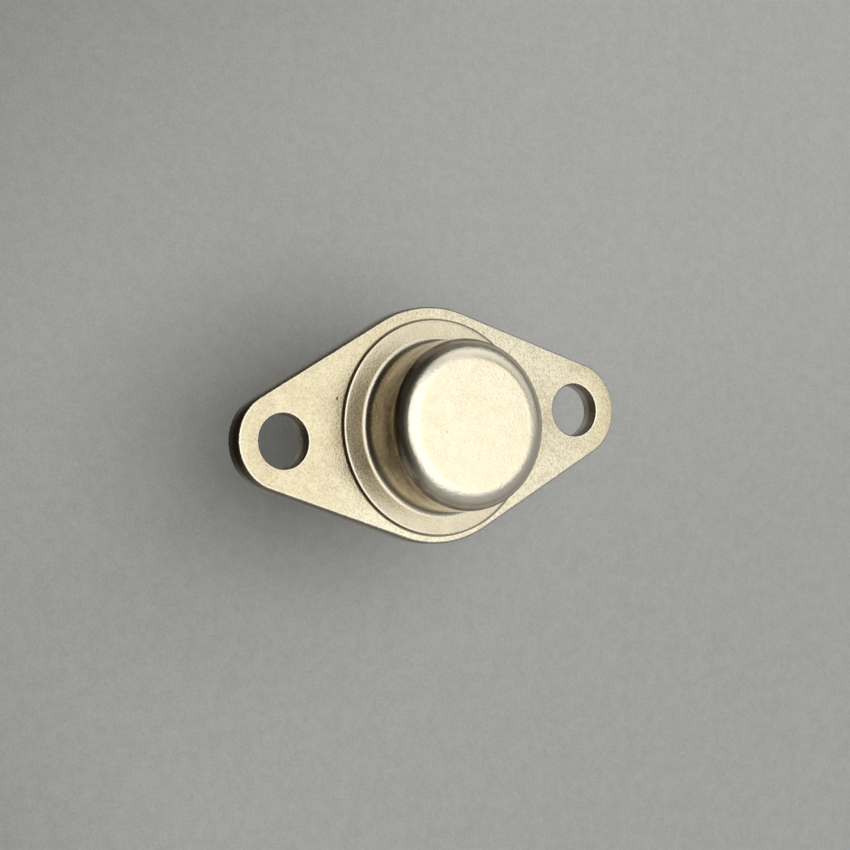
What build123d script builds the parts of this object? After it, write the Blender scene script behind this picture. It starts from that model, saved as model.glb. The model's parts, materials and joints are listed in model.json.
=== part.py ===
from build123d import *
import math
import os

# Triac in a two-lead, hermetic, rhombic-flange metal can (TO-66 outline). Sizes in millimetres.
#
# The frame's origin is the centre of the flange's underside, the face that seats on a heatsink.
# +X runs along the line of the two mounting holes and +Z points up through the cap. The two
# pins stand out along -Z on the -X side: gate at +Y, main terminal 1 at -Y. The flange and the
# cap are main terminal 2. All the pieces inside the sealed cap stack up from the flange.

# Mounting flange: a stamped steel plate, a middle disc and two end lobes joined by tangents
hole_spacing = 24.38
hole_radius = 1.88
flange_middle_radius = 8.44
flange_end_radius = 3.53
flange_thickness = 1.6
flange_top_edge_break = 0.15
flange_bottom_edge_break = 0.08
hole_edge_break = 0.15

# Cap: a drawn cup, its brim trimmed a little off the wall's centre, projection welded to the flange
brim_radius = 7.65
brim_edge_break = 0.1
brim_trimmings = 0.4
brim_x = 0.1
cap_wall_radius = 6.05
cap_height = 5.1
cap_sheet = 0.28
cap_foot_fillet = 0.38
cap_shoulder_radius = 1.17
cap_top_edge_radius = 2.25
cap_top_edge_turn = 27
cap_x = 0.31
cap_y = -0.19

# Pins and their glass-to-metal seals
pin_spacing = 5.08
pin_line_offset = 2.54
pin_radius = 0.39
pin_length = 11.1
pin_tip_chamfer = 0.14
seal_radius = 1.3
seal_recess = 0.1

# Chip stack, from the flange up: braze, heat spreader, solder, molybdenum plate, solder, chip
braze_thickness = 0.05
braze_margin = 0.15
spreader_radius = 3.1
spreader_thickness = 0.9
spreader_edge_break = 0.12
spreader_cap_clearance = 1.1
solder_thickness = 0.05
solder_margin = 0.08
plate_radius = 2.6
plate_thickness = 0.4
chip_side = 3.2
chip_thickness = 0.25
chip_bevel = 0.1
coating_width = 0.35
coating_corner_radius = 0.6

# Contact solder on the chip's top face
contact_solder_thickness = 0.06
gate_contact_radius = 0.35
gate_contact_inset = 0.55
terminal_contact_radius = 0.8
terminal_contact_inset = 1.3

# Formed clips from the pins' inner ends to the chip
clip_thickness = 0.2
clip_bend_radius = 0.35
clip_arch_height = 0.55
clip_pin_clearance = 0.03
clip_eye_margin = 0.42
clip_eye_level_above_foot = 0.3
gate_foot_margin = 0.05
terminal_foot_margin = 0.05
pin_above_clip = 0.4
pin_solder_width = 0.3
pin_solder_height = 0.3

# Levels along +Z, each resting on the one below
spreader_base = flange_thickness + braze_thickness
spreader_top = spreader_base + spreader_thickness
plate_base = spreader_top + solder_thickness
plate_top = plate_base + plate_thickness
chip_base = plate_top + solder_thickness
chip_top = chip_base + chip_thickness
clip_foot_level = chip_top + contact_solder_thickness
clip_eye_level = clip_foot_level + clip_eye_level_above_foot
clip_eye_top = clip_eye_level + clip_thickness
clip_arch_level = clip_eye_level + clip_arch_height
pin_top = clip_eye_top + pin_above_clip

# Places in plan
pin_x = -pin_line_offset
gate_pin_y = pin_spacing / 2
terminal_pin_y = -pin_spacing / 2
hole_x = hole_spacing / 2
chip_x = cap_x + cap_wall_radius - cap_sheet - spreader_cap_clearance - spreader_radius
gate_contact = (chip_x - chip_side / 2 + gate_contact_inset, chip_side / 2 - gate_contact_inset)
terminal_contact = (
    chip_x + chip_side / 2 - terminal_contact_inset,
    terminal_contact_inset - chip_side / 2,
)

BASE = (Align.CENTER, Align.CENTER, Align.MIN)


def disc(radius, thickness, x, y, z):
    """A round plate standing on level z."""
    return Pos(x, y, z) * Cylinder(radius, thickness, align=BASE)


def circle_edge(radius, x, y=0):
    """The edge of a circle in plan."""
    return (Pos(x, y) * Circle(radius)).edge()


def rim(part, level):
    """The edges of a part that lie wholly at one level."""
    return part.edges().filter_by_position(Axis.Z, level, level)


def mounting_flange():
    """The stamped plate, with its two screw holes and the two holes that the seals fill."""
    outline = make_hull(
        [
            circle_edge(flange_middle_radius, 0),
            circle_edge(flange_end_radius, hole_x),
            circle_edge(flange_end_radius, -hole_x),
        ]
    )
    plate = extrude(outline, flange_thickness)
    plate = chamfer(rim(plate, flange_thickness), flange_top_edge_break)
    plate = chamfer(rim(plate, 0), flange_bottom_edge_break)
    for x in (-hole_x, hole_x):
        plate -= disc(hole_radius, flange_thickness, x, 0, 0)
    screw_rims = plate.edges().filter_by(GeomType.CIRCLE).filter_by(is_screw_rim)
    plate = chamfer(screw_rims, hole_edge_break)
    for y in (gate_pin_y, terminal_pin_y):
        plate -= disc(seal_radius, flange_thickness, pin_x, y, 0)
    return plate


def is_screw_rim(edge):
    """Whether an edge is a whole circle of a screw hole."""
    return edge.is_closed and math.isclose(edge.radius, hole_radius)


def cap():
    """The drawn cup: trimmed brim, foot fillet, straight wall, rounded crown and flat top."""
    inner_wall = cap_wall_radius - cap_sheet
    brim = cap_sheet
    top, top_edge, shoulder = crown()
    turn = math.radians(cap_top_edge_turn)
    inner_bend = (top_edge @ 1) - cap_sheet * Vector(math.sin(turn), math.cos(turn))
    rest = Polyline(
        shoulder @ 1,
        (cap_wall_radius, brim),
        (brim_radius + brim_trimmings, brim),
        (brim_radius + brim_trimmings, 0),
        (inner_wall, 0),
        (inner_wall, (shoulder @ 1).Y),
        inner_bend,
        ((top @ 1).X, cap_height - cap_sheet),
        (0, cap_height - cap_sheet),
        top @ 0,
    )
    section = make_face(Plane.XZ * (top + top_edge + shoulder + rest))
    section = fillet(corner(section, cap_wall_radius, brim), cap_foot_fillet)
    section = chamfer(corner(section, inner_wall, 0), cap_foot_fillet)
    drawn = Pos(cap_x, cap_y, flange_thickness) * revolve(section, Axis.Z)
    trimmed = drawn & disc(brim_radius, cap_height, brim_x, cap_y, flange_thickness)
    return chamfer(rim(trimmed, flange_thickness + brim).sort_by(SortBy.LENGTH)[-1], brim_edge_break)


def corner(section, x, z):
    """The corner of an upright section that lies at x and z."""
    return section.vertices().sort_by_distance((x, 0, z))[0]


def crown():
    """The outside of the crown in section: the flat top, its slow edge and the tighter shoulder."""
    turn = math.radians(cap_top_edge_turn)
    tightening = cap_top_edge_radius - cap_shoulder_radius
    flat_radius = cap_wall_radius - cap_shoulder_radius - tightening * math.sin(turn)
    top = Line((0, cap_height), (flat_radius, cap_height))
    top_edge = JernArc(top @ 1, top % 1, cap_top_edge_radius, -cap_top_edge_turn)
    shoulder = JernArc(top_edge @ 1, top_edge % 1, cap_shoulder_radius, cap_top_edge_turn - 90)
    return top, top_edge, shoulder


def glass_seal(y):
    """The glass round one pin, level with the flange inside and set back from its underside."""
    depth = flange_thickness - seal_recess
    return disc(seal_radius, depth, pin_x, y, seal_recess) - disc(pin_radius, depth, pin_x, y, seal_recess)


def pin(y):
    """A straight round lead, chamfered at both ends."""
    lead = disc(pin_radius, pin_length + pin_top, pin_x, y, -pin_length)
    return chamfer(rim(lead, -pin_length) + rim(lead, pin_top), pin_tip_chamfer)


def heat_spreader():
    """The copper disc that carries the chip, with its top edge broken."""
    block = disc(spreader_radius, spreader_thickness, chip_x, 0, spreader_base)
    return chamfer(rim(block, spreader_top), spreader_edge_break)


def square_slab(side, thickness, z):
    """A square plate centred on the chip."""
    return Pos(chip_x, 0, z) * Box(side, side, thickness, align=BASE)


def triac_chip():
    """The silicon chip, with the bevelled top edges that its junctions end on."""
    return chamfer(rim(square_slab(chip_side, chip_thickness, chip_base), chip_top), chip_bevel)


def junction_coating():
    """The varnish bead that seals the chip's edges, up to the level of its top face."""
    outer = RectangleRounded(
        chip_side + 2 * coating_width, chip_side + 2 * coating_width, coating_corner_radius
    )
    bead = extrude(Pos(chip_x, 0, plate_top) * outer, chip_top - plate_top)
    bead = chamfer(rim(bead, chip_top), coating_width - chip_bevel)
    return bead - triac_chip() - die_solder()


def die_solder():
    """The solder between the chip and the molybdenum plate."""
    return square_slab(chip_side + 2 * solder_margin, solder_thickness, plate_top)


def contact_solder(place, radius):
    """A flat pad of solder on the chip's top face."""
    return disc(radius, contact_solder_thickness, *place, chip_top)


def clip(pin_y, place, foot_radius):
    """A stamped strip: an eye over the pin, an arch for strain relief and a foot on the chip."""
    reach = math.dist((pin_x, pin_y), place)
    turn = math.degrees(math.atan2(place[1] - pin_y, place[0] - pin_x))
    eye_radius = pin_radius + clip_eye_margin
    blank = make_hull([circle_edge(eye_radius, 0), circle_edge(foot_radius, reach)])
    half = clip_thickness / 2
    eye, arch, foot = clip_eye_level + half, clip_arch_level + half, clip_foot_level + half
    rise_start = eye_radius
    fall_end = reach - foot_radius
    rise = (fall_end - rise_start) / 4
    path = FilletPolyline(
        (-eye_radius - half, eye),
        (rise_start, eye),
        (rise_start + rise, arch),
        (fall_end - rise, arch),
        (fall_end, foot),
        (reach + foot_radius + half, foot),
        radius=clip_bend_radius,
    )
    width = 2 * max(eye_radius, foot_radius)
    strip = extrude(Plane.XZ * trace(path, clip_thickness), width, both=True)
    formed = strip & extrude(blank, pin_top)
    formed -= Cylinder(pin_radius + clip_pin_clearance, 2 * pin_top)
    return Pos(pin_x, pin_y) * Rot(0, 0, turn) * formed


def pin_solder(y):
    """The solder fillet that joins a clip's eye to its pin."""
    section = Plane.XZ * Polyline(
        (pin_radius, clip_eye_top + pin_solder_height),
        (pin_radius, clip_eye_top),
        (pin_radius + pin_solder_width, clip_eye_top),
        close=True,
    )
    return Pos(pin_x, y) * revolve(make_face(section), Axis.Z)


PIECES = {
    "mounting_flange": mounting_flange(),
    "cap": cap(),
    "gate_seal": glass_seal(gate_pin_y),
    "main_terminal_1_seal": glass_seal(terminal_pin_y),
    "gate_pin": pin(gate_pin_y),
    "main_terminal_1_pin": pin(terminal_pin_y),
    "spreader_braze": disc(spreader_radius + braze_margin, braze_thickness, chip_x, 0, flange_thickness),
    "heat_spreader": heat_spreader(),
    "plate_solder": disc(plate_radius + solder_margin, solder_thickness, chip_x, 0, spreader_top),
    "molybdenum_plate": disc(plate_radius, plate_thickness, chip_x, 0, plate_base),
    "die_solder": die_solder(),
    "triac_chip": triac_chip(),
    "junction_coating": junction_coating(),
    "gate_contact_solder": contact_solder(gate_contact, gate_contact_radius),
    "main_terminal_1_contact_solder": contact_solder(terminal_contact, terminal_contact_radius),
    "gate_clip": clip(gate_pin_y, gate_contact, gate_contact_radius + gate_foot_margin),
    "main_terminal_1_clip": clip(
        terminal_pin_y, terminal_contact, terminal_contact_radius + terminal_foot_margin
    ),
    "gate_pin_solder": pin_solder(gate_pin_y),
    "main_terminal_1_pin_solder": pin_solder(terminal_pin_y),
}

os.makedirs("parts", exist_ok=True)
for name, shape in PIECES.items():
    export_step(shape, f"parts/{name}.step")
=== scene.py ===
import json
import math

import bpy
from mathutils import Matrix, Vector
from mathutils.geometry import delaunay_2d_cdt


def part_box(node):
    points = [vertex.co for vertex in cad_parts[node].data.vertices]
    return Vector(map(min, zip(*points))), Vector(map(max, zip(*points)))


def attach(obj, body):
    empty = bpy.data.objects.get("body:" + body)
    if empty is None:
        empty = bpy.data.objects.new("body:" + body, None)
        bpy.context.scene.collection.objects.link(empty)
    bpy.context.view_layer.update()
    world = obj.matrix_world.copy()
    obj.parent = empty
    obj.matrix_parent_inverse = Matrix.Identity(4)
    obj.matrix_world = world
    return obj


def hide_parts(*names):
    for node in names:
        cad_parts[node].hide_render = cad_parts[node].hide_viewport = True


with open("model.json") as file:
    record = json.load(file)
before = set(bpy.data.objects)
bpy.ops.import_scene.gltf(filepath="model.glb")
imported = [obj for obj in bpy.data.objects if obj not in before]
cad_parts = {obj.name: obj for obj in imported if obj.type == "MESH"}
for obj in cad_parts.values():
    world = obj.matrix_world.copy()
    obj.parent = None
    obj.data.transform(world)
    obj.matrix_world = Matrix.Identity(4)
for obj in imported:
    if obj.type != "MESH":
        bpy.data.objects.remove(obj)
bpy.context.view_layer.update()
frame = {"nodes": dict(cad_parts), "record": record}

# Triac in a rhombic-flange metal can. Metres, in the CAD frame: the origin is the centre of the
# flange's seating face, +X runs along the screw holes and +Z points up through the cap.

MM = 0.001

# Sizes that the frame gives
mounts = {m["name"]: m for m in frame["record"]["mounts"]}
flange_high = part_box("mounting_flange")[1]
cap_low, cap_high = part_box("cap")
pin_low, pin_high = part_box("gate_pin")
seal_low, seal_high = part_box("gate_seal")
screws = mounts["mounting_holes"]["dims"]
HOLE_X = screws["spacing_x_mm"] * MM / 2
HOLE_RADIUS = screws["hole_r_mm"] * MM
FLANGE_MIDDLE_RADIUS = flange_high.y
FLANGE_END_RADIUS = flange_high.x - HOLE_X
FLANGE_TOP = flange_high.z
BRIM_X, BRIM_Y = (cap_low.x + cap_high.x) / 2, (cap_low.y + cap_high.y) / 2
BRIM_RADIUS = (cap_high.x - cap_low.x) / 2
CAP_TOP = cap_high.z
PIN_RADIUS = (pin_high.x - pin_low.x) / 2
SEAL_RADIUS = (seal_high.x - seal_low.x) / 2
FLOOR_LEVEL = pin_low.z

# Finer sizes of the pieces made here
CAP_X = 0.31 * MM
CAP_SHEET = 0.28 * MM
CAP_WALL_RADIUS = 6.05 * MM
CAP_SHOULDER_RADIUS = 1.17 * MM
CAP_TOP_EDGE_RADIUS = 2.25 * MM
CAP_TOP_EDGE_TURN = 27
CAP_DRAFT = 0.05 * MM
CAP_FOOT_REACH = 0.42 * MM
CAP_FOOT_RISE = 0.25 * MM
BRIM_ROLL_REACH = 0.19 * MM
BRIM_ROLL_DROP = 0.05 * MM
BRIM_UNDER_ROUND = 0.06 * MM
FLANGE_TOP_ROUND = 0.20 * MM
FLANGE_BOTTOM_ROUND = 0.2 * MM
HOLE_ROUND = 0.17 * MM
PIN_TIP_ROUND = 0.14 * MM
SEAL_CREEP = 0.06 * MM

# What follows from them: the brim's top, and the centres of the cap's two outer radii
BRIM_TOP = FLANGE_TOP + CAP_SHEET
TOP_EDGE_TURN = math.radians(CAP_TOP_EDGE_TURN)
TOP_EDGE_Z = CAP_TOP - CAP_TOP_EDGE_RADIUS
NARROWING = CAP_TOP_EDGE_RADIUS - CAP_SHOULDER_RADIUS
SHOULDER_X = CAP_WALL_RADIUS - CAP_SHOULDER_RADIUS
SHOULDER_Z = TOP_EDGE_Z + NARROWING * math.cos(TOP_EDGE_TURN)

# How many steps each curve of the meshes has, and the angle from which an edge stays sharp
LATHE_STEPS = 256
OUTLINE_STEPS = 96
SEAL_HOLE_STEPS = 64
CAP_TOP_EDGE_STEPS = 24
CAP_SHOULDER_STEPS = 32
CAP_FOOT_STEPS = 20
BRIM_ROLL_STEPS = 14
BRIM_UNDER_STEPS = 5
PIN_TIP_STEPS = 10
SEAL_STEPS = 16
ROUND_STEPS = 8
SHARP_ANGLE = 30
GUARD = 0.03 * MM       # a short edge beside a curve keeps the flat next to it flat when shaded
NOTHING = 1e-9          # a radius or distance under this counts as none

# The plating's grain, in noise cycles per metre, and the height of its bump
GRAIN = 5200
BUMP_HEIGHT = 0.02 * MM


# ---------------------------------------------------------------- meshes

def arc(cx, cz, radius, start, end, steps, rise=None):
    """Points of an arc, or an ellipse of that rise, in the (radius, height) plane, in degrees."""
    angles = [math.radians(start + (end - start) * i / steps) for i in range(steps + 1)]
    rise = rise or radius
    return [(cx + radius * math.cos(a), cz + rise * math.sin(a)) for a in angles]


def piece(name, vertices, faces, material, slot, replaced):
    """A smooth-shaded object that rides on the body and stands for the CAD node named."""
    mesh = bpy.data.meshes.new(name)
    mesh.from_pydata(vertices, [], faces)
    mesh.validate()
    mesh.update()
    mesh.shade_smooth()
    mesh.set_sharp_from_angle(angle=math.radians(SHARP_ANGLE))
    mesh.materials.append(material)
    obj = bpy.data.objects.new(name, mesh)
    bpy.context.scene.collection.objects.link(obj)
    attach(obj, "root")
    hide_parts(replaced)
    return obj


def turned(profile, x, y):
    """Rings (x, y, radius, height) that a profile of (radius, height) makes round an axis."""
    return [(x, y, radius, z) for radius, z in profile]


def lathe(rings, closed):
    """Vertices and faces of the surface through level rings, each (x, y, radius, height)."""
    vertices, faces, loops = [], [], []
    for x, y, radius, z in rings:
        if radius < NOTHING:
            loops.append([len(vertices)] * LATHE_STEPS)
            vertices.append((x, y, z))
            continue
        loops.append(list(range(len(vertices), len(vertices) + LATHE_STEPS)))
        for i in range(LATHE_STEPS):
            turn = 2 * math.pi * i / LATHE_STEPS
            vertices.append((x + radius * math.cos(turn), y + radius * math.sin(turn), z))
    pairs = list(zip(loops, loops[1:]))
    if closed:
        pairs.append((loops[-1], loops[0]))
    for low, high in pairs:
        for i in range(LATHE_STEPS):
            j = (i + 1) % LATHE_STEPS
            face = [low[i], low[j], high[j], high[i]]
            faces.append(list(dict.fromkeys(face)))
    return vertices, faces


def crown_profile():
    """The cap's outside from its middle to its foot: a flat top, two radii, a wall and a foot."""
    flat = SHOULDER_X - NARROWING * math.sin(TOP_EDGE_TURN)
    steep = 90 - CAP_TOP_EDGE_TURN
    profile = [(0, CAP_TOP), (flat - GUARD, CAP_TOP)]
    profile += arc(flat, TOP_EDGE_Z, CAP_TOP_EDGE_RADIUS, 90, steep, CAP_TOP_EDGE_STEPS)
    profile += arc(SHOULDER_X, SHOULDER_Z, CAP_SHOULDER_RADIUS, steep, 0, CAP_SHOULDER_STEPS)[1:]
    wall_foot = CAP_WALL_RADIUS + CAP_DRAFT
    foot_x, foot_z = wall_foot + CAP_FOOT_REACH, BRIM_TOP + CAP_FOOT_RISE
    profile += [(CAP_WALL_RADIUS, SHOULDER_Z - GUARD), (wall_foot, foot_z + GUARD)]
    profile += arc(foot_x, foot_z, CAP_FOOT_REACH, 180, 270, CAP_FOOT_STEPS, CAP_FOOT_RISE)
    return profile + [(foot_x + GUARD, BRIM_TOP)]


def brim_profile():
    """The edge of the brim, rolled over at its top and slightly rounded below."""
    edge_x, under_x = BRIM_RADIUS - BRIM_ROLL_REACH, BRIM_RADIUS - BRIM_UNDER_ROUND
    profile = [(edge_x - GUARD, BRIM_TOP)]
    profile += arc(edge_x, BRIM_TOP - BRIM_ROLL_DROP, BRIM_ROLL_REACH, 90, 0, BRIM_ROLL_STEPS,
                   BRIM_ROLL_DROP)
    profile += arc(under_x, FLANGE_TOP + BRIM_UNDER_ROUND, BRIM_UNDER_ROUND, 0, -90,
                   BRIM_UNDER_STEPS)
    return profile


def inside_profile():
    """The cap's inside, which nothing shows, from its bevelled foot to its middle."""
    wall = CAP_WALL_RADIUS - CAP_SHEET
    return [(wall + CAP_FOOT_RISE, FLANGE_TOP), (wall, FLANGE_TOP + CAP_FOOT_RISE),
            (wall, SHOULDER_Z), (SHOULDER_X, CAP_TOP - CAP_SHEET), (0, CAP_TOP - CAP_SHEET)]


def cap_rings():
    """The drawn cap from the outside centre to the inside centre, with its brim off-centre."""
    return (turned(crown_profile(), CAP_X, BRIM_Y) + turned(brim_profile(), BRIM_X, BRIM_Y)
            + turned(inside_profile(), CAP_X, BRIM_Y))


def pin_profile():
    """A straight lead with both of its ends rounded, from the top centre to the bottom centre."""
    r = PIN_TIP_ROUND
    x = PIN_RADIUS - r
    profile = [(0, pin_high.z)] + arc(x, pin_high.z - r, r, 90, 0, PIN_TIP_STEPS)
    profile += arc(x, pin_low.z + r, r, 0, -90, PIN_TIP_STEPS) + [(0, pin_low.z)]
    return profile


def seal_profile():
    """The glass between a pin and the flange, drawn up a little where it wets each of them."""
    middle = (PIN_RADIUS + SEAL_RADIUS) / 2
    half = (SEAL_RADIUS - PIN_RADIUS) / 2
    spread = [-1 + 2 * i / SEAL_STEPS for i in range(SEAL_STEPS + 1)]
    lower = [(middle + half * u, seal_low.z - SEAL_CREEP * u ** 4) for u in spread]
    upper = [(middle - half * u, seal_high.z - SEAL_CREEP * (1 - u ** 4) / 2) for u in spread]
    return lower + upper


def flange_outline():
    """(x, y, radius, direction) round the plate: three circles and the tangents between them."""
    tangent = math.acos((FLANGE_MIDDLE_RADIUS - FLANGE_END_RADIUS) / HOLE_X)
    arcs = [
        (HOLE_X, FLANGE_END_RADIUS, -tangent, tangent),
        (0, FLANGE_MIDDLE_RADIUS, tangent, math.pi - tangent),
        (-HOLE_X, FLANGE_END_RADIUS, math.pi - tangent, math.pi + tangent),
        (0, FLANGE_MIDDLE_RADIUS, math.pi + tangent, 2 * math.pi - tangent),
    ]
    outline = []
    for x, radius, start, end in arcs:
        for i in range(OUTLINE_STEPS + 1):
            turn = start + (end - start) * i / OUTLINE_STEPS
            outline.append((x, 0, radius, math.cos(turn), math.sin(turn)))
    return outline


def circle_outline(x, y, radius, steps):
    """The same round a hole, with each direction pointing from its centre to its wall."""
    turns = [2 * math.pi * i / steps for i in range(steps)]
    return [(x, y, radius, math.cos(t), math.sin(t)) for t in turns]


def edge_levels(thickness, top_round, bottom_round):
    """(inset, height) pairs down a plate's edge, with both of its corners rounded."""
    turns = [math.pi / 2 * i / ROUND_STEPS for i in range(ROUND_STEPS + 1)]
    top = [(top_round * (1 - math.sin(t)), thickness - top_round * (1 - math.cos(t)))
           for t in turns]
    bottom = [(bottom_round * (1 - math.cos(t)), bottom_round * (1 - math.sin(t))) for t in turns]
    return top + bottom


def plate(outline, holes, thickness, top_round, bottom_round, hole_round):
    """Vertices and faces of a flat plate with rounded edges and round holes through it."""
    vertices, faces = [], []
    top_loops, bottom_loops = [], []
    for loop, sign in [(outline, 1)] + [(hole, -1) for hole in holes]:
        rounds = (top_round, bottom_round) if sign == 1 else (hole_round, hole_round)
        rings = []
        for inset, z in edge_levels(thickness, *rounds):
            rings.append(list(range(len(vertices), len(vertices) + len(loop))))
            for x, y, radius, dx, dy in loop:
                r = radius - sign * inset
                vertices.append((x + r * dx, y + r * dy, z))
        for upper, lower in zip(rings, rings[1:]):
            for i in range(len(loop)):
                j = (i + 1) % len(loop)
                quad = [upper[i], lower[i], lower[j], upper[j]]
                faces.append(quad if sign == 1 else quad[::-1])
        top_loops.append(rings[0])
        bottom_loops.append(rings[-1])
    for loops, up in ((top_loops, True), (bottom_loops, False)):
        faces += flat_faces(vertices, loops, up)
    return vertices, faces


def flat_faces(vertices, loops, up):
    """Triangles between an outer loop of vertices and the loops of the holes."""
    order = [v for loop in loops for v in loop]
    points = [Vector(vertices[v][:2]) for v in order]
    edges, start = [], 0
    for loop in loops:
        edges += [(start + i, start + (i + 1) % len(loop)) for i in range(len(loop))]
        start += len(loop)
    _, _, triangles, origins, _, _ = delaunay_2d_cdt(points, edges, [], 0, NOTHING)
    faces = []
    hole_of = [0] * len(loops[0]) + [n for n, loop in enumerate(loops[1:], 1) for _ in loop]
    for triangle in triangles:
        owners = {hole_of[origins[i][0]] for i in triangle}
        if len(owners) == 1 and owners != {0}:
            continue
        face = [order[origins[i][0]] for i in triangle]
        faces.append(face if up else face[::-1])
    return faces


# ---------------------------------------------------------------- node materials

class Tree:
    """A short way to add nodes to a material or world."""

    def __init__(self, owner):
        owner.use_nodes = True
        self.nodes, self.links = owner.node_tree.nodes, owner.node_tree.links
        self.nodes.clear()

    def add(self, kind, settings=None, **inputs):
        """A node, with its properties set and its sockets fed by values or by other sockets."""
        node = self.nodes.new(kind)
        for key, value in (settings or {}).items():
            setattr(node, key, value)
        for key, value in inputs.items():
            socket = node.inputs[int(key[1:]) if key[0] == "i" and key[1:].isdigit() else key]
            self.feed(socket, value)
        return node

    def feed(self, socket, value):
        """Links a socket, or sets its value."""
        if isinstance(value, bpy.types.NodeSocket):
            self.links.new(value, socket)
        else:
            socket.default_value = value

    def math(self, operation, a, b=0.0, clamp=False):
        """A sum or a function of one or two values."""
        node = self.add("ShaderNodeMath", {"operation": operation, "use_clamp": clamp}, i0=a, i1=b)
        return node.outputs[0]

    def product(self, first, *others, clamp=False):
        """All of the values multiplied together."""
        for other in others:
            first = self.math("MULTIPLY", first, other, clamp)
        return first

    def degrees(self, operation, *values):
        """The angle that an inverse function gives, in degrees."""
        return self.math("DEGREES", self.math(operation, *values))

    def smooth(self, value, low, high, to_low=0.0, to_high=1.0):
        """A smooth step from to_low at low to to_high at high."""
        node = self.add("ShaderNodeMapRange", {"interpolation_type": "SMOOTHSTEP"})
        for key, v in zip(("Value", "From Min", "From Max", "To Min", "To Max"),
                          (value, low, high, to_low, to_high)):
            self.feed(node.inputs[key], v)
        return node.outputs[0]

    def band(self, value, start, full, fading, end):
        """1 from full to fading, with a smooth step down to 0 at start and at end."""
        return self.product(self.smooth(value, start, full), self.smooth(value, end, fading))

    def mix(self, factor, a, b):
        """Colour a where the factor is 0 and colour b where it is 1."""
        node = self.add("ShaderNodeMix", {"data_type": "RGBA"}, i0=factor)
        self.feed(node.inputs[6], a)
        self.feed(node.inputs[7], b)
        return node.outputs[2]

    def noise(self, vector, scale, detail=3.0, roughness=0.55):
        """Fractal noise, around 0.5."""
        node = self.add("ShaderNodeTexNoise", None, Scale=scale, Detail=detail,
                        Roughness=roughness)
        self.feed(node.inputs["Vector"], vector)
        return node.outputs["Fac"]

    def scaled(self, vector, x, y, z):
        """The vector, stretched along each axis."""
        node = self.add("ShaderNodeVectorMath", {"operation": "MULTIPLY"}, i1=(x, y, z))
        self.feed(node.inputs[0], vector)
        return node.outputs[0]

    def parts(self, vector):
        """A vector's x, y and z."""
        node = self.add("ShaderNodeSeparateXYZ")
        self.feed(node.inputs[0], vector)
        return node.outputs

    def place(self):
        """Where the point is, in the object's own frame, which is the CAD frame."""
        return self.add("ShaderNodeTexCoord").outputs["Object"]

    def finish(self, shader, kind="ShaderNodeOutputMaterial"):
        """Sends the shader to the output."""
        output = self.add(kind)
        self.feed(output.inputs["Surface"], shader.outputs[0])

    def metal_or_glass(self, tint, roughness, bump, height, **settings):
        """Ends the tree in a principled shader with a fine bump."""
        shader = self.add("ShaderNodeBsdfPrincipled", None, **settings)
        self.feed(shader.inputs["Base Color"], tint)
        self.feed(shader.inputs["Roughness"], roughness)
        relief = self.add("ShaderNodeBump", None, Strength=bump, Distance=BUMP_HEIGHT,
                          Height=height)
        self.feed(shader.inputs["Normal"], relief.outputs[0])
        self.finish(shader)


def rgb(r, g, b):
    """A colour, in the linear values that the shaders take."""
    return (r, g, b, 1.0)


def grey(level):
    """A neutral colour of that level."""
    return rgb(level, level, level)


def darker(colour, share):
    """That share of a colour."""
    return rgb(*[c * share for c in colour[:3]])


# Painted light: the flange's brighter part towards +X
PAINTED_LIGHT_NICKEL = rgb(1.0, 0.935, 0.75)
# Burnished edges, partly painted highlight
BURNISHED_EDGE_AND_HIGHLIGHT = rgb(1.0, 0.94, 0.82)
HANDLING_STAIN = rgb(0.50, 0.40, 0.22)
# Die streaks, with painted shade higher up the cap's wall
DIE_STREAK_AND_SHADE = rgb(0.32, 0.23, 0.15)
# Painted reflection: a dark smear high on the cap's wall
PAINTED_DARK_REFLECTION = rgb(0.10, 0.075, 0.055)
PIT = rgb(0.10, 0.08, 0.05)
# Partly painted shade: the seam where the brim meets the flange
SEAM_AND_PAINTED_SHADE = rgb(0.16, 0.115, 0.06)
# Bare sheared steel, partly painted shade
SHEARED_EDGE_AND_SHADE = rgb(0.17, 0.13, 0.08)
TORN_EDGE = rgb(0.60, 0.56, 0.47)


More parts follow.
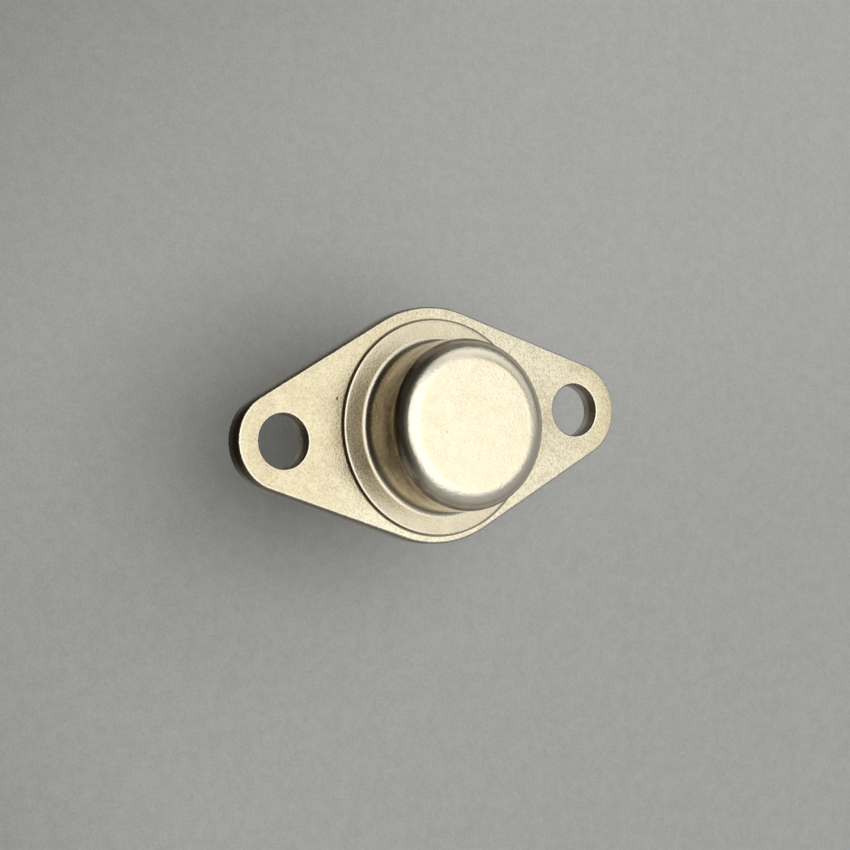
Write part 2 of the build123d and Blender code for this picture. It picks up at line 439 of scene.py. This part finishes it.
class Plating(Tree):
    """The node tree of satin nickel plate, with a method for each kind of mark on the metal, some of
    them painted light and shade.
    """

    def __init__(self, name, pale, deep, rough):
        self.material = bpy.data.materials.new(name)
        super().__init__(self.material)
        self.at = self.place()
        self.x, self.y, self.level = self.parts(self.at)
        geometry = self.add("ShaderNodeNewGeometry")
        self.tilt = self.parts(geometry.outputs["Normal"])[2]
        self.level_face = self.math("ABSOLUTE", self.parts(geometry.outputs["True Normal"])[2])
        mottle = self.noise(self.at, scale=900, detail=4.0, roughness=0.6)
        self.mottle = self.smooth(mottle, 0.3, 0.7)
        self.fine = self.noise(self.at, scale=GRAIN, detail=3.0, roughness=0.65)
        self.speck = self.noise(self.at, scale=GRAIN * 1.9, detail=2.0, roughness=0.5)
        self.deep = deep
        self.rough = self.roughness = rough
        self.tint = self.mix(self.mottle, deep, pale)

    def cover(self, mask, colour):
        """Lays a colour over the tint where the mask is 1."""
        self.tint = self.mix(mask, self.tint, colour)

    def clean(self, amount):
        """Painted light: a brighter tint from the middle towards the +X end, with a slant start and
        fading off.
        """
        slant = self.math("SUBTRACT", self.x, self.math("MULTIPLY", self.y, 0.6))
        mask = self.product(self.smooth(slant, -9 * MM, 0, 0.0, amount),
                            self.smooth(self.x, 15.5 * MM, 9 * MM))
        self.cover(mask, PAINTED_LIGHT_NICKEL)

    def stain(self, amount):
        """Broad brown stains from handling."""
        at = self.scaled(self.at, 1, 0.8, 1)
        patches = self.noise(at, scale=330, detail=5.0, roughness=0.65)
        self.cover(self.smooth(patches, 0.56, 0.74, 0.0, amount), HANDLING_STAIN)

    def brim(self, pale, deep, rough, fleck):
        """A duller, more flecked finish up to the cap's foot. Gives the flecks' new amount."""
        above = self.smooth(self.level, FLANGE_TOP + 0.4 * MM, FLANGE_TOP + 0.7 * MM)
        self.tint = self.mix(above, self.mix(self.mottle, deep, pale), self.tint)
        self.roughness = self.math("ADD", rough, self.product(above, self.rough - rough))
        return self.math("SUBTRACT", 1.3 * fleck, self.product(above, fleck))

    def draw(self, amount):
        """Brown streaks round the upright wall, as a drawing die leaves them, with painted shade
        that makes them darker higher up.
        """
        upright = self.smooth(self.level_face, 0.35, 0.75, 1.0, 0.0)
        at = self.scaled(self.at, 0.3, 0.3, 1)
        streak = self.noise(at, scale=1500, detail=4.0, roughness=0.7)
        streak = self.product(upright, amount, self.smooth(streak, 0.35, 0.7, 0.35, 1.0))
        # Painted shade: the streaks grow darker towards the top of the wall
        painted_shade_upward = self.smooth(self.level, 2 * MM, 5 * MM, 0.8, 1.25)
        self.cover(self.product(streak, painted_shade_upward, clamp=True), DIE_STREAK_AND_SHADE)

    def paint_dark_reflection(self):
        """A painted dark reflection high on the wall, on the -X side."""
        at = self.scaled(self.at, 1, 1, 0.5)
        smear = self.noise(at, scale=2200, detail=3.0, roughness=0.6)
        mask = self.product(self.band(self.level, 3.3 * MM, 5.0 * MM, 5.1 * MM, 5.5 * MM),
                            self.smooth(self.x, -2.5 * MM, -4.5 * MM),
                            self.smooth(smear, 0.3, 0.7, 0.38, 0.72))
        self.cover(mask, PAINTED_DARK_REFLECTION)

    def wear_and_painted_edges(self, fleck, pitting, burnish_and_highlight=0.55):
        """Dark flecks, pits, bare cut edges with a torn band and painted dark reflection, and
        rounded edges burnished bright with a painted highlight.
        """
        flecks = self.smooth(self.fine, 0.62, 0.30)
        self.cover(self.product(flecks, fleck), darker(self.deep, 0.62))

        pits = self.add("ShaderNodeTexVoronoi", {"feature": "F1"}, Vector=self.at, Scale=650.0,
                        Randomness=1.0)
        rare = self.smooth(self.noise(self.at, scale=480, detail=1.0), 0.56, 0.62)
        pit = self.product(self.smooth(pits.outputs["Distance"], 0.035, 0.10, 1.0, 0.0), rare)
        self.pit = self.product(pit, pitting)
        self.cover(self.pit, PIT)

        edge_top = FLANGE_TOP + 0.26 * MM
        # Painted shade: cut edges and the rounded tops beside them are darkened as if reflecting
        # shaded surroundings
        cut = self.product(self.smooth(self.level_face, 0.45, 0.84, 1.0, 0.0),
                           self.smooth(self.level, edge_top, edge_top - 0.03 * MM))
        torn = self.smooth(self.level, 0.95 * MM, 0.6 * MM)
        self.cover(self.product(cut, 0.85), self.mix(torn, SHEARED_EDGE_AND_SHADE, TORN_EDGE))

        # Painted highlight: rounded edges are burnished smoother and tinted paler along their bright
        # line
        slope = self.band(self.tilt, 0.82, 0.92, 0.985, 0.9995)
        self.cover(self.product(slope, burnish_and_highlight), BURNISHED_EDGE_AND_HIGHLIGHT)
        polish = self.product(slope, (burnish_and_highlight - 0.5) * self.rough)
        self.roughness = self.math("SUBTRACT", self.roughness, polish)

    def weld(self, amount):
        """A dark seam past the brim's edge, partly welded discolouring and partly painted shade:
        what shows of a disc under it and one under the cup.
        """
        discs = []
        for x, reach in ((BRIM_X, 0.14 * MM), (CAP_X, 0.10 * MM)):
            away = self.add("ShaderNodeVectorMath", {"operation": "DISTANCE"}, i1=(x, BRIM_Y, 0))
            self.feed(away.inputs[0], self.scaled(self.at, 1, 1, 0))
            edge = BRIM_RADIUS + reach
            discs.append(self.smooth(away.outputs["Value"], edge + 0.03 * MM, edge - 0.05 * MM))
        self.cover(self.product(self.math("MAXIMUM", *discs), amount), SEAM_AND_PAINTED_SHADE)

    def finished(self, bump):
        """The material, with grain in its roughness and relief, and a fine peel on the crown."""
        grain = self.product(self.math("SUBTRACT", self.fine, 0.5), 0.2)
        roughness = self.math("ADD", self.roughness, grain)
        relief = self.math("ADD", self.product(self.fine, 0.6), self.product(self.speck, 0.4))
        relief = self.math("SUBTRACT", relief, self.pit)
        crown = self.product(self.band(self.tilt, 0.80, 0.92, 0.99, 0.9995),
                             self.smooth(self.level, CAP_TOP - 2 * MM, CAP_TOP - 1 * MM))
        peel = self.noise(self.at, scale=13000, detail=2.0, roughness=0.6)
        peel = self.product(crown, peel, 0.4)
        self.metal_or_glass(self.tint, roughness, bump, self.math("ADD", relief, peel),
                            Metallic=1.0)
        return self.material


def flange_metal():
    """Stamped plate: stained, with a brighter part in painted light, a welded seam partly painted
    shade, and burnished edges partly painted highlight and shade.
    """
    metal = Plating("flange_plating", pale=rgb(0.845, 0.747, 0.524), deep=rgb(0.742, 0.65, 0.432),
                    rough=0.27)
    metal.clean(0.62)
    metal.stain(0.45)
    metal.wear_and_painted_edges(fleck=0.6, pitting=0.6, burnish_and_highlight=0.95)
    metal.weld(0.9)
    return metal.finished(bump=1.4)


def cap_metal():
    """Drawn cup: a polished crown, a streaked wall with painted shade higher up and a painted dark
    reflection, and a dull brim.
    """
    metal = Plating("cap_plating", pale=rgb(0.865, 0.787, 0.60), deep=rgb(0.805, 0.728, 0.535),
                    rough=0.09)
    fleck = metal.brim(pale=rgb(0.75, 0.675, 0.50), deep=rgb(0.68, 0.60, 0.43), rough=0.27,
                       fleck=0.30)
    metal.draw(0.9)
    metal.paint_dark_reflection()
    metal.wear_and_painted_edges(fleck, pitting=0.2)
    return metal.finished(bump=1.0)


def pin_metal():
    """Drawn wire, plated as the rest but whiter."""
    metal = Plating("pin_plating", pale=rgb(0.80, 0.76, 0.66), deep=rgb(0.74, 0.70, 0.60),
                    rough=0.30)
    metal.wear_and_painted_edges(fleck=0.3, pitting=0.3)
    return metal.finished(bump=0.3)


def dappled(name, pale, deep, scale, rough, bump, dark, stretch=(1, 1, 1), **settings):
    """A surface whose tint, roughness and relief follow one noise, with darker flecks in it."""
    material = bpy.data.materials.new(name)
    t = Tree(material)
    place = t.scaled(t.place(), *stretch)
    broad = t.noise(place, scale * 0.2, detail=3.0, roughness=0.6)
    fine = t.noise(place, scale, detail=4.0, roughness=0.65)
    tint = t.mix(t.smooth(broad, 0.3, 0.7), deep, pale)
    tint = t.mix(t.smooth(fine, 0.6, 0.3, 0.0, dark), tint, darker(deep, 0.5))
    roughness = t.math("ADD", rough - 0.08, t.product(fine, 0.16))
    t.metal_or_glass(tint, roughness, bump, fine, **settings)
    return material


# ---------------------------------------------------------------- pieces

FLANGE_METAL, CAP_METAL, PIN_METAL = flange_metal(), cap_metal(), pin_metal()
SEAL_GLASS = dappled("seal_glass", rgb(0.055, 0.085, 0.075), rgb(0.03, 0.045, 0.042),
                     scale=6000, rough=0.22, bump=0.15, dark=0.5, IOR=1.52)

# The pieces inside the cap keep their CAD shapes and get these by the record's material slots
INNER = {
    "braze": dappled("braze", rgb(0.80, 0.74, 0.58), rgb(0.70, 0.62, 0.46),
                     scale=5200, rough=0.38, bump=0.5, dark=0.3, Metallic=1.0),
    "copper": dappled("copper", rgb(0.80, 0.43, 0.29), rgb(0.68, 0.32, 0.20),
                      scale=4200, rough=0.36, bump=0.5, dark=0.4, stretch=(0.15, 1, 1),
                      Metallic=1.0),
    "solder": dappled("solder", rgb(0.64, 0.64, 0.65), rgb(0.52, 0.52, 0.54),
                      scale=3600, rough=0.42, bump=0.8, dark=0.3, Metallic=1.0),
    "molybdenum": dappled("molybdenum", rgb(0.60, 0.60, 0.61), rgb(0.50, 0.50, 0.51),
                          scale=5200, rough=0.40, bump=0.4, dark=0.3, stretch=(1, 0.12, 1),
                          Metallic=1.0),
    "silicon": dappled("silicon", rgb(0.19, 0.20, 0.24), rgb(0.15, 0.16, 0.19),
                       scale=2600, rough=0.16, bump=0.05, dark=0.2, IOR=3.5, Metallic=0.35),
    "coating": dappled("coating", rgb(0.46, 0.13, 0.06), rgb(0.32, 0.08, 0.04),
                       scale=2400, rough=0.24, bump=0.3, dark=0.3, IOR=1.5),
    "clip_plating": dappled("clip_plating", rgb(0.78, 0.77, 0.74), rgb(0.70, 0.68, 0.64),
                            scale=5200, rough=0.30, bump=0.4, dark=0.3, stretch=(1, 1, 0.2),
                            Metallic=1.0),
}
SLOT_OF = {part["node"]: part["material_slot"] for part in frame["record"]["subparts"]}

seal_places = [((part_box(n)[0].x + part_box(n)[1].x) / 2, (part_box(n)[0].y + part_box(n)[1].y) / 2)
               for n in ("gate_seal", "main_terminal_1_seal")]
screw_holes = [circle_outline(x, 0, HOLE_RADIUS, OUTLINE_STEPS) for x in (-HOLE_X, HOLE_X)]
seal_holes = [circle_outline(x, y, SEAL_RADIUS, SEAL_HOLE_STEPS) for x, y in seal_places]
vertices, faces = plate(flange_outline(), screw_holes + seal_holes, FLANGE_TOP,
                        FLANGE_TOP_ROUND, FLANGE_BOTTOM_ROUND, HOLE_ROUND)
piece("flange", vertices, faces, FLANGE_METAL, "flange_plating", "mounting_flange")
piece("can", *lathe(cap_rings(), False), CAP_METAL, "cap_plating", "cap")
for lead, (x, y) in zip(("gate", "main_terminal_1"), seal_places):
    piece(lead + "_lead", *lathe(turned(pin_profile(), x, y), False), PIN_METAL, "pin_plating",
          lead + "_pin")
    piece(lead + "_glass", *lathe(turned(seal_profile(), x, y), True), SEAL_GLASS, "seal_glass",
          lead + "_seal")
for node, obj in frame["nodes"].items():
    if SLOT_OF[node] in INNER:
        obj.data.materials.clear()
        obj.data.materials.append(INNER[SLOT_OF[node]])


# ---------------------------------------------------------------- floor, world and camera

FLOOR_HALF = 1.2
CARD_RADIUS = 50 * MM       # the flag stands this far from the middle, and the apron ends there
FLAG_TOP = 36 * MM
FLAG_START, FLAG_TURN, FLAG_STEPS = 70, 170, 48     # degrees from +X towards +Y
APRON_INNER_RADIUS = 16 * MM
APRON_CLEARANCE = 0.2 * MM
APRON_STEPS = 96

BOX_LEAN = 10               # degrees that the softbox leans from straight up towards +X
BOX_EDGE = 34, 38.5         # degrees from its middle over which its light ends
BOX_LIGHT = rgb(1.32, 1.32, 1.30)
WALL_LIGHT, WALL_END_LIGHT = rgb(0.93, 0.93, 0.90), rgb(0.62, 0.62, 0.60)
ROOM_HIGH, ROOM_LOW = grey(0.40), grey(0.27)
CORNER_ROOM, WALL_RING, BOX_GAP = grey(0.25), grey(0.10), grey(0.05)
CAMERA_SIDE_HIGH, CAMERA_SIDE_LOW = grey(0.16), grey(0.062)

# Solved from the photograph: the lens and sensor in mm, the place, and two of the camera's axes
CAMERA_LENS, CAMERA_SENSOR = 99.445, 36.0
CAMERA_PLACE = Vector((-87.769, 1.342, 143.690)) * MM
CAMERA_RIGHT = Vector((0.84809, -0.10220, 0.51990))
CAMERA_BACK = Vector((-0.52196, 0.00761, 0.85294))


def backdrop(name, vertices, faces, material):
    """An object of the set, which isn't part of the can."""
    mesh = bpy.data.meshes.new(name)
    mesh.from_pydata(vertices, [], faces)
    mesh.materials.append(material)
    obj = bpy.data.objects.new(name, mesh)
    bpy.context.scene.collection.objects.link(obj)
    return obj


def paper():
    """Pale paper with a fine tooth, with painted light that makes it a little paler towards +Y."""
    material = bpy.data.materials.new("paper")
    t = Tree(material)
    place = t.place()
    tooth = t.smooth(t.noise(place, scale=5600, detail=3.0, roughness=0.75), 0.3, 0.7)
    pulp = t.smooth(t.noise(place, scale=1300, detail=5.0, roughness=0.7), 0.3, 0.7)
    grain = t.math("ADD", t.product(tooth, 0.6), t.product(pulp, 0.4))
    near = t.mix(grain, rgb(0.54, 0.545, 0.525), rgb(0.69, 0.695, 0.675))
    far = t.mix(grain, rgb(0.59, 0.597, 0.58), rgb(0.745, 0.752, 0.735))
    shader = t.add("ShaderNodeBsdfPrincipled", None, Roughness=0.9)
    # Painted light: a shaded and a lit copy of the paper, lit towards +Y
    across = t.smooth(t.parts(place)[1], -12 * MM, 14 * MM)
    t.feed(shader.inputs["Base Color"], t.mix(across, near, far))
    t.finish(shader)
    return material


def card_material(name, darkness, pale, dark):
    """A faint glow, dark where darkness(tree, bearing, height) is 1 and pale where it is 0.

    Bearings are in degrees from -X towards +Y.
    """
    material = bpy.data.materials.new(name)
    t = Tree(material)
    x, y, z = t.parts(t.place())
    bearing = t.degrees("ARCTAN2", y, t.math("MULTIPLY", x, -1.0))
    shader = t.add("ShaderNodeEmission")
    t.feed(shader.inputs["Color"], t.mix(darkness(t, bearing, z), pale, dark))
    t.finish(shader)
    return material


def floor():
    """A plain pale sheet of paper under the pins' tips."""
    corners = [(-FLOOR_HALF, -FLOOR_HALF), (FLOOR_HALF, -FLOOR_HALF), (FLOOR_HALF, FLOOR_HALF),
               (-FLOOR_HALF, FLOOR_HALF)]
    obj = backdrop("floor", [(x, y, FLOOR_LEVEL) for x, y in corners], [(0, 1, 2, 3)], paper())


def flag():
    """An upright card round the -X side that shows in the cap, dark but for its two ends."""
    def darkness(t, bearing, height):
        rise = t.smooth(height, 2 * MM, 11 * MM)
        high = t.band(bearing, -72, -20, 75, 118)
        low = t.band(bearing, -52, 0, 60, 98)
        return t.math("ADD", t.product(high, rise), t.product(low, t.math("SUBTRACT", 1.0, rise)))

    steps = FLAG_STEPS
    turns = [math.radians(FLAG_START + FLAG_TURN * i / steps) for i in range(steps + 1)]
    vertices = [(CARD_RADIUS * math.cos(t), CARD_RADIUS * math.sin(t), z)
                for z in (FLOOR_LEVEL, FLAG_TOP) for t in turns]
    faces = [(i, i + 1, i + steps + 2, i + steps + 1) for i in range(steps)]
    material = card_material("flag", darkness, rgb(0.24, 0.24, 0.235), rgb(0.045, 0.041, 0.037))
    obj = backdrop("flag", vertices, faces, material)
    obj.visible_camera = False


def apron():
    """A flat ring just above the floor, dark on the -X side, that shows only in reflections: a
    painted dark reflection of shaded floor.
    """
    def darkness(t, bearing, height):
        return t.band(bearing, -48, -8, 66, 96)

    steps = APRON_STEPS
    turns = [2 * math.pi * i / steps for i in range(steps)]
    vertices = [(r * math.cos(t), r * math.sin(t), FLOOR_LEVEL + APRON_CLEARANCE)
                for r in (APRON_INNER_RADIUS, CARD_RADIUS) for t in turns]
    faces = [(i, i + steps, (i + 1) % steps + steps, (i + 1) % steps) for i in range(steps)]
    material = card_material("apron", darkness, rgb(0.28, 0.28, 0.275), rgb(0.036, 0.032, 0.028))
    obj = backdrop("apron", vertices, faces, material)
    obj.visible_camera = obj.visible_diffuse = obj.visible_shadow = False


def softbox(t, gap, corner, x, z, side):
    """1 inside the round box overhead, which is cut short in the corner and dented on -Y.

    Each dent moves the box's edge inwards by the degrees that it is multiplied by.
    """
    lean = math.radians(90 - BOX_LEAN)
    towards = t.math("ADD", t.product(x, math.cos(lean)), t.product(z, math.sin(lean)))
    off_axis = t.degrees("ARCCOSINE", towards)
    front_dent = t.product(t.band(side, -85, -50, -42, -18), 8.5)
    end_dent = t.product(t.band(side, -165, -140, -108, -90), 4.0)
    dented = t.math("ADD", off_axis, t.math("ADD", front_dent, end_dent))
    box = t.smooth(dented, *BOX_EDGE, 1.0, 0.0)
    short_box = t.product(box, t.smooth(gap, -4.5, -2, 1.0, 0.0))
    return t.math("ADD", t.product(box, t.math("SUBTRACT", 1.0, corner)),
                  t.product(short_box, corner))


def studio():
    """A round softbox overhead and a grey room, with a lit wall in the corner of +X and +Y.

    All angles are in degrees: down from straight up, turn from +X towards +Y, and side from -X
    towards +Y. In the corner a dark gap comes below the box, then the wall and then a dark
    ring. Gap and wall_end are the angles below the wall's upper and lower edges. The camera's
    side of the room is darker.
    """
    world = bpy.data.worlds.new("studio")
    bpy.context.scene.world = world
    t = Tree(world)
    x, y, z = t.parts(t.add("ShaderNodeTexCoord").outputs["Generated"])
    down = t.degrees("ARCCOSINE", z)
    turn = t.degrees("ARCTAN2", y, x)
    side = t.degrees("ARCTAN2", y, t.math("MULTIPLY", x, -1.0))

    corner = t.band(turn, -6, 4, 78, 90)
    gap = t.math("SUBTRACT", down, t.smooth(turn, 10, 65, 41.5, 31))
    wall_end = t.math("SUBTRACT", down, t.smooth(turn, 12, 88, 71, 47))
    room = t.mix(t.smooth(down, 50, 85), ROOM_HIGH, ROOM_LOW)
    room = t.mix(corner, room, CORNER_ROOM)
    room = t.mix(t.product(t.band(wall_end, -3, 1, 5, 11), corner), room, WALL_RING)
    room = t.mix(t.product(t.band(gap, -4.5, -2, 0, 3), corner), room, BOX_GAP)

    camera_side = t.band(side, -75, -35, 100, 128)
    shade = t.mix(t.smooth(down, 38, 58), CAMERA_SIDE_HIGH, CAMERA_SIDE_LOW)
    room = t.mix(camera_side, room, shade)

    wall = t.product(t.smooth(gap, 0, 3), t.smooth(wall_end, -3, 1, 1.0, 0.0), corner)
    wall_light = t.mix(t.band(turn, 5, 35, 55, 82), WALL_END_LIGHT, WALL_LIGHT)
    colour = t.mix(wall, room, wall_light)
    colour = t.mix(softbox(t, gap, corner, x, z, side), colour, BOX_LIGHT)
    t.finish(t.add("ShaderNodeBackground", None, Color=colour, Strength=1.0),
             "ShaderNodeOutputWorld")


def camera():
    """The camera looks down on the cap from -X, with the long axis across the picture."""
    data = bpy.data.cameras.new("camera")
    data.sensor_width = CAMERA_SENSOR
    data.lens = CAMERA_LENS
    data.clip_start, data.clip_end = 0.001, 10.0
    obj = bpy.data.objects.new("camera", data)
    right = CAMERA_RIGHT.normalized()
    back = (CAMERA_BACK - right * CAMERA_BACK.dot(right)).normalized()
    up = back.cross(right)
    turn = Matrix((right, up, back)).transposed().to_4x4()
    obj.matrix_world = Matrix.Translation(CAMERA_PLACE) @ turn
    bpy.context.scene.collection.objects.link(obj)
    bpy.context.scene.camera = obj


floor()
flag()
apron()
studio()
camera()
bpy.context.scene.view_settings.view_transform = "Standard"
